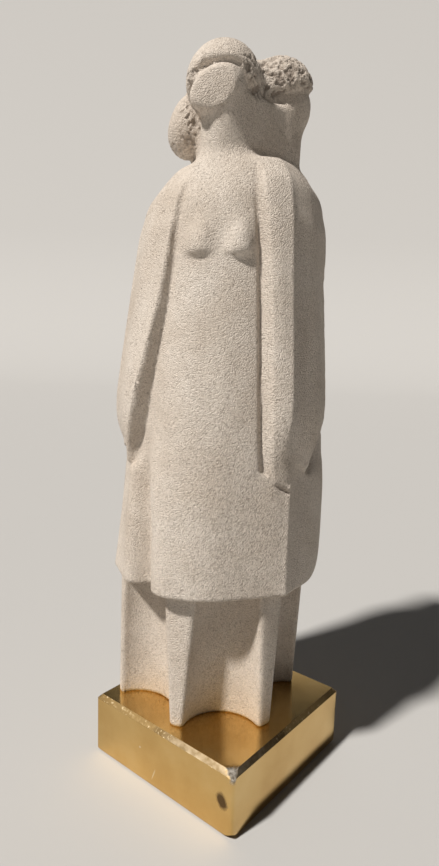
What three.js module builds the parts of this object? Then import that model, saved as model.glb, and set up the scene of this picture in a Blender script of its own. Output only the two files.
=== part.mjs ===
// Three standing women cast back to back as one piece of stone, on a square brass block.
// Millimetres, +Z up, the block's underside on z = 0 and its middle on x = y = 0.
import * as THREE from 'three';

// ---- the brass block -------------------------------------------------------------
const SIDE = 60;              // side of the square block
const BLOCK_H = 21;           // its height
const BEVEL = 1.4;            // flat bevel round the top
const CORNER = 0.7;           // rounding of the four upright edges
const FOOT_EDGE = 1.2;        // rounding of the bottom edges

// ---- the stone group: lengths below are parts of SIDE, heights from Z0 -------------
const Z0 = BLOCK_H - 0.024 * SIDE;   // height from which the group's stations are counted
const TURN = 50.7;            // the group is turned on the block by this (degrees)
const FACE = -100;            // bearing of the first woman; the other two follow at 120 and 240
const PERIOD = 120;
const EDGE = 49;              // bearing of the upright arris beside each left arm, from her front
const AXIS_X = [-0.072, 0.0245];     // the group's axis: place at the foot and lean with height
const AXIS_Y = 0.08;
const FOOT = 0.024;           // the group's underside, on the block's top
const HEM = 0.775;            // hem of the tunics
const SHOULDER_TOP = 2.93;    // height of the shoulders' flat tops
const HEADS_FROM = 2.4;       // necks and heads start above this
const SKIN = 0.0025;          // allowance all round for the roughness of the cast surface

// profiles over height: z, value, z, value ...
const FRONT = [.70, .566, .9, .563, 1.26, .553, 1.77, .525, 2.2, .495, 2.45, .475, 2.6, .464, 2.72, .442, 2.82, .402, 2.90, .355, 2.96, .30, 3.05, .22];
const TUNIC_EDGE = [.70, .580, .9, .560, 1.1, .543, 1.31, .524, 1.7, .515, 2.2, .497, 2.5, .47, 2.7, .43, 2.82, .38, 2.95, .29, 3.05, .2];
const ARM_EDGE = [1.2, .535, 1.33, .549, 1.45, .560, 1.55, .579, 1.66, .594, 1.76, .594, 1.94, .575, 2.3, .533, 2.59, .499, 2.66, .480, 2.713, .468,
  2.77, .449, 2.80, .425, 2.84, .394, 2.88, .362, 2.913, .330, 2.963, .26, 3.05, .2];
const LEFT_CREASE = [1.3, 35.6, 1.54, 34.7, 1.87, 32.3, 2.24, 29.6, 2.47, 27.9, 2.70, 23.6];          // bearing of the fold between left arm and body
const RIGHT_CREASE = [1.40, 53.5, 1.45, 52.5, 1.50, 50, 1.55, 47.2, 1.63, 43.6, 1.73, 41.0, 2.0, 34.8, 2.23, 29.6, 2.46, 27, 2.62, 26.3, 2.8, 25.5];
const CREASE_DEPTH = .034;                   // of the left one
const RIGHT_STEP = [1.34, .020, 1.42, .038, 1.50, .052, 1.63, .050, 1.73, .045, 2.0, .034, 2.23, .027, 2.46, .018, 2.62, .012, 2.8, 0];   // how far the body falls back beside the right arm
const UNDERCUT_R = [1.37, 0, 1.42, .018, 1.50, .034, 1.70, .043, 2.0, .038, 2.3, .026, 2.45, .014, 2.6, 0];      // hollow along the inner side of the right arm
const UNDERCUT_AT = [1.38, .530, 1.54, .530, 1.73, .537, 2.0, .520, 2.23, .503, 2.46, .483, 2.61, .466, 2.8, .44];   // its distance from the axis
const HAND_TAPER = [1.36, .014, 1.42, .020, 1.50, .022, 1.55, .009, 1.60, 0];   // back of the first woman's right hand
const FOLD_SHARE = [1.0, 0, .6];           // how strongly each tunic's long fold is cut

// skirt: a drum with six flutes
const RIDGE_R = [.502, .512, .505, .480, .518, .455];
const FLUTE_AT = .503, FLUTE_R = [.213, -.050], DRUM_TOP = .75;

// heads: bearing, distance from the axis, height, facing, radii of the hair, radii of the
// blank egg of the face and its place from the hair's middle, how far it is tipped back and
// leaned over (degrees), lean of the neck, underside of the hair (cut, slope, rounding), neck radii
const HEADS = [
  { az: -116, rho: .200, z: 3.284, faz: -110, hair: [.186, .200, .194], egg: [.097, .090, .152], off: [-.016, .128, -.060], tilt: 40, roll: 34.4, lean: .088, cut: .072, slope: .64, under: .030, neck: [.120, .102] },
  { az: 8, rho: .198, z: 3.320, faz: 8, hair: [.174, .184, .183], egg: [.122, .118, .140], off: [0, .052, -.068], tilt: 0, roll: 0, lean: 0, cut: .030, slope: .25, under: .046, neck: [.150, .122] },
  { az: 130, rho: .195, z: 3.300, faz: 140, hair: [.185, .175, .190], egg: [.122, .122, .140], off: [0, .090, -.068], tilt: 0, roll: 0, lean: 0, cut: .060, slope: .45, under: .030, neck: [.150, .122] },
];
const TRESS = { at: [-.262, .05, 3.155], r: [.113, .13, .162], taper: .20 };   // hair hanging behind the third head
const SLIT = { off: [-.098, .172, .027], r: [.052, .050, .017] };              // under the first woman's fringe
const WEB = [[-.030, -.195], [.212, .034], .112, 3.22];                        // wall of stone left between two necks: ends, half thickness, top
const BREAST = { turn: 1.2, apart: 12.3, rho: [.440, .431], z: 2.470, r: [.062, [.076, .070], .041, .130] };
const CUT = { at: -55.5, rho: .598, z: 1.334, r: [.072, .090, .018], slant: 28.6 };   // chisel cut under the first woman's left hand
const HEM_LIFT = [.075, 4, 17];   // the hem rises on the right-hand side: how much, bearing, spread

const GRID = 0.0205;          // sampling step of the surface, parts of SIDE
const FACETS = 8900;          // facets kept on the stone group

// ---- helpers -----------------------------------------------------------------------
const RAD = Math.PI / 180;
const clamp = (v, a, b) => Math.min(b, Math.max(a, v));
const step = (a, b, x) => { const t = clamp((x - a) / (b - a), 0, 1); return t * t * (3 - 2 * t); };
const smin = (a, b, k) => { const h = clamp(0.5 + 0.5 * (b - a) / k, 0, 1); return b * (1 - h) + a * h - k * h * (1 - h); };
const smax = (a, b, k) => -smin(-a, -b, k);
const mod = (a, n) => ((a % n) + n) % n;
function lin(x, p) {          // straight lines through pairs x0, y0, x1, y1 ...
  const n = p.length;
  if (x <= p[0]) return p[1];
  for (let i = 2; i < n; i += 2) if (x <= p[i]) return p[i - 1] + (p[i + 1] - p[i - 1]) * (x - p[i - 2]) / (p[i] - p[i - 2]);
  return p[n - 1];
}

// ---- body: outline radius over bearing and height -----------------------------------
const DZ = 0.01, DP = 0.5, ZLO = 0.50, NZ = 266, NP = PERIOD / DP, E0 = EDGE - PERIOD;
function chord(a, r, x) {     // outline made of flat facets between bearings a, radii r
  let j = 0;
  while (j < a.length - 2 && x >= a[j + 1]) j++;
  const a1 = a[j], a2 = a[j + 1], r1 = r[j], r2 = r[j + 1];
  return r1 * r2 * Math.sin((a2 - a1) * RAD) / (r1 * Math.sin((x - a1) * RAD) + r2 * Math.sin((a2 - x) * RAD));
}
function blur(T, sd, along) { // soften a table along its rows or columns
  const n = Math.floor(3 * sd) + 1, k = [], out = new Float64Array(T.length);
  let sum = 0;
  for (let j = -n; j <= n; j++) { const w = Math.exp(-0.5 * (j / sd) ** 2); k.push(w); sum += w; }
  for (let i = 0; i < NZ; i++) for (let p = 0; p < NP; p++) {
    let v = 0;
    for (let j = -n; j <= n; j++) {
      const ii = along ? i : clamp(i + j, 0, NZ - 1), pp = along ? mod(p + j, NP) : p;
      v += k[j + n] / sum * T[ii * NP + pp];
    }
    out[i * NP + p] = v;
  }
  return out;
}
function outlineTables() {
  const tunic = new Float64Array(NZ * NP), arms = new Float64Array(NZ * NP), crisp = new Float64Array(NZ * NP);
  for (let i = 0; i < NZ; i++) {
    const z = ZLO + i * DZ, front = lin(z, FRONT), eT = lin(z, TUNIC_EDGE), eA = lin(z, ARM_EDGE);
    const aL = lin(z, LEFT_CREASE), aR = -lin(z, RIGHT_CREASE), fade = step(2.88, 2.50, z);
    const dL = CREASE_DEPTH * fade, low = lin(z, RIGHT_STEP);
    const crestR = eA * .990 - .002, crestL = Math.min(eA * .985, front + .044), gr = 0.010 * fade;
    const kt = [[E0, E0 + 10, -50, -42, -30, -20, -10, -2, 10, 20, 30, 41, EDGE],
      [eT, eT * .970, front, front * 1.010, front * 1.010, front * 1.005, front, front, front * .980, front * .952, front * .950, front * .975, eT]];
    const ka = [[E0, E0 + 5, E0 + 9, E0 + 13, -56, aR - 1.2, aR - .2, -21, -8, 8, aL - 9, aL - 4.0, aL + .2, aL + 5.6, EDGE],
      [eA, eA * .975 - gr * .5, eA * .968 - gr, eA * .972 - gr * .2, eA * .985, crestR, front - low, front, front, front * .985, front * .966, front * .962, front * .958 - dL, crestL, eA]];
    for (let p = 0; p < NP; p++) {
      const x = E0 + p * DP, q = i * NP + p, d = Math.min(Math.abs(x - EDGE), Math.abs(x - E0));
      tunic[q] = chord(kt[0], kt[1], x); arms[q] = chord(ka[0], ka[1], x);
      crisp[q] = Math.max(Math.exp(-((d / 5) ** 2)), z > 1.3 ? .95 * Math.exp(-(((x - aL - 1) / 6) ** 2)) : 0, z > 1.34 ? Math.exp(-(((x - aR + 1) / 7) ** 2)) : 0);
    }
  }
  return [tunic, arms].map(T => {
    const R = blur(T, 2.0, false), a = blur(R, .55 / DP, true), b = blur(R, 4.0 / DP, true);
    return a.map((v, q) => v * crisp[q] + b[q] * (1 - crisp[q]));
  });
}
const [TUNIC, ARMS] = outlineTables();
function lookup(T, x, z) {
  const zi = clamp((z - ZLO) / DZ, 0, NZ - 1.001), xi = (x - E0) / DP;
  const i = Math.floor(zi), fz = zi - i, j = Math.floor(xi), fx = xi - j, j0 = mod(j, NP), j1 = mod(j + 1, NP);
  return (T[i * NP + j0] * (1 - fx) + T[i * NP + j1] * fx) * (1 - fz) + (T[(i + 1) * NP + j0] * (1 - fx) + T[(i + 1) * NP + j1] * fx) * fz;
}
function bodyRadius(bearing, z) {
  let d = mod(bearing - FACE - EDGE + 60, PERIOD) - 60, phi = bearing;
  phi += 5.5 * step(1.30, 1.60, z) * Math.exp(-((d + 5.5) ** 2) / 170);
  const x = mod(phi - FACE - E0, PERIOD) + E0, woman = mod(Math.floor((phi - FACE - E0) / PERIOD), 3);
  // lower ends of the hands
  const zl = lin(x, [28, 1.43, 34, 1.414, 41, 1.379, EDGE + 3, 1.320, EDGE + 9, 1.33]) + (woman === 0 ? 0 : .115);
  const zr = lin(x, [E0, 1.470, -60, 1.436, -54, 1.388, -50, 1.390, -45, 1.42, -36, 1.44, -29, 1.46]) - (woman === 1 ? .12 * clamp(1 - (x - E0) / 9, 0, 1) : 0);
  const soft = lin(x, [-55, .010, -52, .020, -46, .055, -36, .11, -29, .18, -20, .30, -10, .35, 14, .35, 22, .30, 29, .010]);
  const w = step(-1, 1, (z - (x > -5 ? zl : zr)) / soft);
  let R = lookup(TUNIC, x, z) * (1 - w) + lookup(ARMS, x, z) * w;
  // the long fold below the right hand, and the ridge beside it
  const share = FOLD_SHARE[woman], xv = lin(z, [.8, -34.5, 1.14, -36.3, 1.30, -39.5, 1.42, -41.5, 1.55, -41.0]);
  const vd = lin(z, [.7, .100, 1.1, .092, 1.30, .088, 1.42, .074, 1.50, .040, 1.62, 0]);
  R -= share * vd * Math.exp(-(((x - xv) / (x > xv ? 7.4 : 5.2)) ** 2)) * (1 - .75 * w);
  if (woman === 1) {
    R -= .017 * Math.exp(-(((x + 36) / 11) ** 2)) * lin(z, [1.5, 0, 1.75, 1, 2.35, 1, 2.6, 0]);
    R += .015 * Math.exp(-(((x + 25) / 14) ** 2)) * lin(z, [.75, .6, .9, 1, 1.4, 1, 1.6, 0]);
    R += Math.exp(-(((x + 20) / 14) ** 2)) * lin(z, [.85, .004, 1.0, .010, 1.45, .010, 1.55, .018, 1.66, 0, 1.78, -.008, 2.35, -.008, 2.5, 0]);
  }
  R += share * .010 * Math.exp(-(((x + 17) / 7.0) ** 2)) * lin(z, [1.1, 1, 1.6, 0]);
  // the back of the first woman's right hand slants in towards its tip
  const dl = mod(phi - FACE - E0 + 180, 360) - 180;
  R -= w * lin(z, HAND_TAPER) * Math.exp(-((dl / 13) ** 2));
  // the first woman's arris stands further out below the hand
  const dk = mod(phi - FACE - EDGE + 180, 360) - 180;
  R += lin(z, [.8, .010, 1.3, .034, 1.45, .034, 1.62, 0]) * Math.exp(-Math.max(Math.abs(dk) - .6, 0) / 6.0) * (1 - w);
  return R;
}

// ---- heads, breasts -------------------------------------------------------------------
function ellipsoid(x, y, z, c, M, r) {
  const d = [x - c[0], y - c[1], z - c[2]];
  let s0 = 0, s1 = 0;
  for (let i = 0; i < 3; i++) {
    const q = (M ? M[i][0] * d[0] + M[i][1] * d[1] + M[i][2] * d[2] : d[i]) / r[i];
    s0 += q * q; s1 += (q / r[i]) ** 2;
  }
  const k0 = Math.sqrt(s0);
  return k0 * (k0 - 1) / (Math.sqrt(s1) + 1e-9);
}
function capsule(x, y, z, a, b, ra, rb) {
  const ab = [b[0] - a[0], b[1] - a[1], b[2] - a[2]], d = [x - a[0], y - a[1], z - a[2]];
  const t = clamp((d[0] * ab[0] + d[1] * ab[1] + d[2] * ab[2]) / (ab[0] ** 2 + ab[1] ** 2 + ab[2] ** 2), 0, 1);
  return Math.hypot(d[0] - ab[0] * t, d[1] - ab[1] * t, d[2] - ab[2] * t) - (ra + (rb - ra) * t);
}
const along = (c, M, off) => [0, 1, 2].map(i => c[i] + M[0][i] * off[0] + M[1][i] * off[1] + M[2][i] * off[2]);
const HEAD_SET = HEADS.map(h => {
  const a = h.az * RAD, f = h.faz * RAD, c = [h.rho * Math.cos(a), h.rho * Math.sin(a), h.z], t = h.tilt * RAD, r = h.roll * RAD;
  const M = [[Math.sin(f), -Math.cos(f), 0], [Math.cos(f), Math.sin(f), 0], [0, 0, 1]];      // side, forward, up
  const up = [0, 1, 2].map(i => M[2][i] * Math.cos(t) - M[1][i] * Math.sin(t)), ahead = [0, 1, 2].map(i => M[1][i] * Math.cos(t) + M[2][i] * Math.sin(t));
  const E = [[0, 1, 2].map(i => M[0][i] * Math.cos(r) + up[i] * Math.sin(r)), ahead, [0, 1, 2].map(i => up[i] * Math.cos(r) - M[0][i] * Math.sin(r))];
  return { h, c, M, E, e: along(c, M, h.off), n0: [.17 * Math.cos(a), .17 * Math.sin(a) - .4 * h.lean, 2.80], n1: [.195 * Math.cos(a), .195 * Math.sin(a) - h.lean, 3.20] };
});
const SLIT_AT = along(HEAD_SET[0].c, HEAD_SET[0].M, SLIT.off);
function heads(x, y, z) {
  const nar = 1 - TRESS.taper * clamp((z - TRESS.at[2]) / TRESS.r[2], -.6, 1);
  const tress = ellipsoid(TRESS.at[0] + (x - TRESS.at[0]) / nar, y, z, TRESS.at, null, TRESS.r);
  let out = null;
  for (const { h, c, M, E, e, n0, n1 } of HEAD_SET) {
    const side = (x - c[0]) * M[0][0] + (y - c[1]) * M[0][1], fw = (x - c[0]) * M[1][0] + (y - c[1]) * M[1][1], up = z - c[2], first = out === null;
    let v = ellipsoid(x, y, z, c, M, h.hair), k = .010;
    v = smax(v, -(up - h.slope * fw + h.cut + (first ? .55 * Math.max(side - .03, 0) : 0)) * .88, h.under);
    if (first) { k = .008 + .050 * step(-.02, .09, .8 * side - .5 * up); v = smax(smin(v, tress, .030), -ellipsoid(x, y, z, SLIT_AT, M, SLIT.r), .024); }
    v = smin(v, ellipsoid(x, y, z, e, E, h.egg), k);
    v = smin(v, capsule(x, y, z, n0, n1, h.neck[0], h.neck[1]), .045);
    out = first ? v : smin(out, v, .022);
  }
  out = smin(out, capsule(x, y, z, [0, 0, 2.6], [0, 0, 3.30], .27, .17), .06);
  const [[ax, ay], [bx, by], rad, top] = WEB, t = clamp(((x - ax) * (bx - ax) + (y - ay) * (by - ay)) / ((bx - ax) ** 2 + (by - ay) ** 2), 0, 1);
  return smin(out, smax(Math.hypot(x - ax - (bx - ax) * t, y - ay - (by - ay) * t) - rad, z - top, .03), .03);
}
const BREASTS = [];
for (let k = 0; k < 3; k++) for (const s of [-1, 1]) {
  const a = (FACE + PERIOD * k + BREAST.turn + s * BREAST.apart) * RAD;
  BREASTS.push([Math.cos(a), Math.sin(a), BREAST.rho[s < 0 ? 0 : 1], BREAST.r[1][s < 0 ? 0 : 1]]);
}
function breasts(x, y, z, v) {
  const u = z - BREAST.z, [a, , lo, hi] = BREAST.r;
  if (u < -.2 || u > .3) return v;
  for (const [c, s, rho, b] of BREASTS) {
    const rad = x * c + y * s - rho, lat = -x * s + y * c;
    const q = Math.sqrt((rad / a) ** 2 + (lat / b) ** 2 + (u / (u < 0 ? lo : hi)) ** 2);
    v = smin(v, (q - 1) * .050, .022);
  }
  return v;
}
function undercut(phi, r, z, v) {
  const rad = lin(z, UNDERCUT_R), at = lin(z, UNDERCUT_AT);
  const d = mod(phi - FACE + lin(z, RIGHT_CREASE) + .8 - rad / at / RAD + 60, PERIOD) - 60;
  return smax(v, rad - Math.hypot(d * RAD * r, r - at), .005);
}
function chisel(x, y, z) {
  const a = CUT.at * RAD, rad = x * Math.cos(a) + y * Math.sin(a) - CUT.rho, lat = -x * Math.sin(a) + y * Math.cos(a), u = z - CUT.z;
  const c = Math.cos(CUT.slant * RAD), s = Math.sin(CUT.slant * RAD);
  return (Math.hypot(rad / CUT.r[0], (lat * c - u * s) / CUT.r[1], (lat * s + u * c) / CUT.r[2]) - 1) * CUT.r[2];
}

// ---- the whole group: negative inside ----------------------------------------------------
function group(X, Y, Z) {
  const x = X - (AXIS_X[0] + AXIS_X[1] * Z), y = Y - AXIS_Y, r = Math.hypot(x, y), phi = Math.atan2(y, x) / RAD;
  const zz = Z - .05 * step(2.3, 2.8, Z) * x - .040 * step(2.45, 2.8, Z) * Math.exp(-(((phi + 58) / 24) ** 2)) * step(.1, .3, r);
  let tunic = (r - bodyRadius(phi, zz)) * .96;
  tunic = breasts(x, y, zz, tunic);
  if (Math.abs(zz - 2.06) < .68) tunic = undercut(phi, r, zz, tunic);
  if (Math.abs(Z - CUT.z) < .15) tunic = smax(tunic, -chisel(x, y, Z), .006);
  const lift = Math.exp(-(((phi - HEM_LIFT[1]) / HEM_LIFT[2]) ** 2));
  tunic = smax(tunic, -(Z - HEM - HEM_LIFT[0] * lift) * (1 - .3 * lift), .020 + .03 * lift);
  tunic = smax(tunic, Z - SHOULDER_TOP, .05);
  // skirt under the hem
  const psi0 = phi - (FACE + EDGE), ridge = mod(Math.floor((psi0 + 30) / 60), 6), psi = mod(psi0 + 30, 60) - 30, t = clamp(Z / DRUM_TOP, 0, 1);
  const ro = RIDGE_R[ridge] + .012 * t + (ridge === 5 ? .02 * t : 0);
  const Rf = FLUTE_R[0] + FLUTE_R[1] * t + (mod(Math.floor(psi0 / 60), 6) === 0 ? .045 * t : 0), fl = (30 - Math.abs(psi)) * RAD;
  const flute = Math.hypot(r * Math.cos(fl) - FLUTE_AT, r * Math.sin(fl)) - Rf;
  let skirt = smax(r - ro, -flute, .030);
  skirt = smax(skirt, Z - .95, .01);
  let out = smin(tunic, skirt, .010);
  if (Z > HEADS_FROM) out = smin(out, heads(x, y, Z), .06 * step(2.4, 2.8, Z) + 1e-4);
  return out - SKIN;
}

// ---- surface of the group: one vertex per crossed cell, pulled onto the surface -----------
function surface(h) {
  const lo = [-.78, -.66, FOOT - 1.5 * h], hi = [.72, .80, 3.62];
  const n = lo.map((v, i) => Math.ceil((hi[i] - v) / h) + 1), [nx, ny, nz] = n;
  const F = new Float32Array(nx * ny * nz), at = (i, j, k) => (i * ny + j) * nz + k;
  for (let i = 0; i < nx; i++) for (let j = 0; j < ny; j++) for (let k = 0; k < nz; k++) {
    const X = lo[0] + i * h, Y = lo[1] + j * h, Z = lo[2] + k * h;
    F[at(i, j, k)] = k === 0 ? 1 : Math.max(group(X, Y, Z), FOOT - Z);
  }
  const id = new Int32Array(nx * ny * nz).fill(-1), P = [], foot = [];
  const cor = [];
  for (let a = 0; a < 8; a++) cor.push([a & 1, (a >> 1) & 1, a >> 2]);
  const edges = [];
  for (let a = 0; a < 8; a++) for (const b of [a | 1, a | 2, a | 4]) if (b !== a) edges.push([a, b]);
  // close crevices too narrow for the sampling, so that no two walls share an edge or a corner
  const faces = [[0, 1, 3, 2], [4, 5, 7, 6], [0, 1, 5, 4], [2, 3, 7, 6], [0, 2, 6, 4], [1, 3, 7, 5]];
  const joined = set => {
    if (!set.length) return true;
    const seen = new Set([set[0]]), todo = [set[0]];
    while (todo.length) { const a = todo.pop(); for (const b of [a ^ 1, a ^ 2, a ^ 4]) if (set.includes(b) && !seen.has(b)) { seen.add(b); todo.push(b); } }
    return seen.size === set.length;
  };
  for (let round = 0, changed = true; changed && round < 12; round++) {
    changed = false;
    for (let i = 0; i < nx - 1; i++) for (let j = 0; j < ny - 1; j++) for (let k = 2; k < nz - 1; k++) {
      const q = cor.map(c => at(i + c[0], j + c[1], k + c[2])), inside = [], outside = [];
      for (let a = 0; a < 8; a++) (F[q[a]] < 0 ? inside : outside).push(a);
      if (!inside.length || !outside.length) continue;
      let pick = joined(inside) && joined(outside) ? null : outside;
      for (const f of faces) {
        const n = f.map(a => F[q[a]] < 0);
        if (n[0] === n[2] && n[1] === n[3] && n[0] !== n[1]) pick = f.filter(a => F[q[a]] >= 0);
      }
      if (!pick) continue;
      F[q[pick.reduce((a, b) => F[q[a]] < F[q[b]] ? a : b)]] = -1e-4;
      changed = true;
    }
  }
  for (let i = 0; i < nx - 1; i++) for (let j = 0; j < ny - 1; j++) for (let k = 0; k < nz - 1; k++) {
    const f = cor.map(c => F[at(i + c[0], j + c[1], k + c[2])]);
    let s = 0, cnt = 0; const p = [0, 0, 0];
    for (let a = 0; a < 8; a++) if (f[a] < 0) s++;
    if (s === 0 || s === 8) continue;
    for (const [a, b] of edges) if ((f[a] < 0) !== (f[b] < 0)) {
      const t = f[a] / (f[a] - f[b]); cnt++;
      for (let d = 0; d < 3; d++) p[d] += cor[a][d] + (cor[b][d] - cor[a][d]) * t;
    }
    id[at(i, j, k)] = P.length / 3;
    P.push(lo[0] + (i + p[0] / cnt) * h, lo[1] + (j + p[1] / cnt) * h, k === 1 ? FOOT : lo[2] + (k + p[2] / cnt) * h);
    // 0 on the sides, 1 inside the flat foot, 2 on the foot's rim
    foot.push(k !== 1 ? 0 : f.slice(4).every(v => v < 0) ? 1 : 2);
  }
  const T = [];
  const quad = (a, b, c, d, flip) => {
    const dist = (p, q) => Math.hypot(P[3 * p] - P[3 * q], P[3 * p + 1] - P[3 * q + 1], P[3 * p + 2] - P[3 * q + 2]);
    if (flip) [b, d] = [d, b];
    if (dist(a, c) < dist(b, d)) T.push(a, b, c, a, c, d); else T.push(b, c, d, b, d, a);
  };
  for (let i = 1; i < nx - 1; i++) for (let j = 1; j < ny - 1; j++) for (let k = 1; k < nz - 1; k++) {
    const a = F[at(i, j, k)] < 0;
    if (a !== F[at(i + 1, j, k)] < 0) quad(id[at(i, j - 1, k - 1)], id[at(i, j, k - 1)], id[at(i, j, k)], id[at(i, j - 1, k)], !a);
    if (a !== F[at(i, j + 1, k)] < 0) quad(id[at(i - 1, j, k - 1)], id[at(i - 1, j, k)], id[at(i, j, k)], id[at(i, j, k - 1)], !a);
  }
  for (let i = 1; i < nx - 1; i++) for (let j = 1; j < ny - 1; j++) for (let k = 0; k < nz - 1; k++) {
    const a = F[at(i, j, k)] < 0;
    if (a !== F[at(i, j, k + 1)] < 0) quad(id[at(i - 1, j - 1, k)], id[at(i, j - 1, k)], id[at(i, j, k)], id[at(i - 1, j, k)], !a);
  }
  // pull each vertex onto the true surface
  const e = 0.002;
  for (let v = 0; v < P.length; v += 3) {
    const part = foot[v / 3];
    if (part === 1) continue;
    for (let it = 0; it < (part ? 6 : 2); it++) {
      const x = P[v], y = P[v + 1], z = P[v + 2], f = group(x, y, z);
      const g = [group(x + e, y, z) - group(x - e, y, z), group(x, y + e, z) - group(x, y - e, z), group(x, y, z + e) - group(x, y, z - e)].map(q => q / (2 * e));
      if (part) g[2] = 0;
      const g2 = Math.max(g[0] ** 2 + g[1] ** 2 + g[2] ** 2, .25), m = Math.min(1, .35 * h * Math.sqrt(g2) / (Math.abs(f) + 1e-12));
      for (let d = 0; d < 3; d++) P[v + d] -= f * g[d] / g2 * m;
    }
  }
  return { P: Float64Array.from(P), T: Int32Array.from(T), foot };
}

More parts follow.
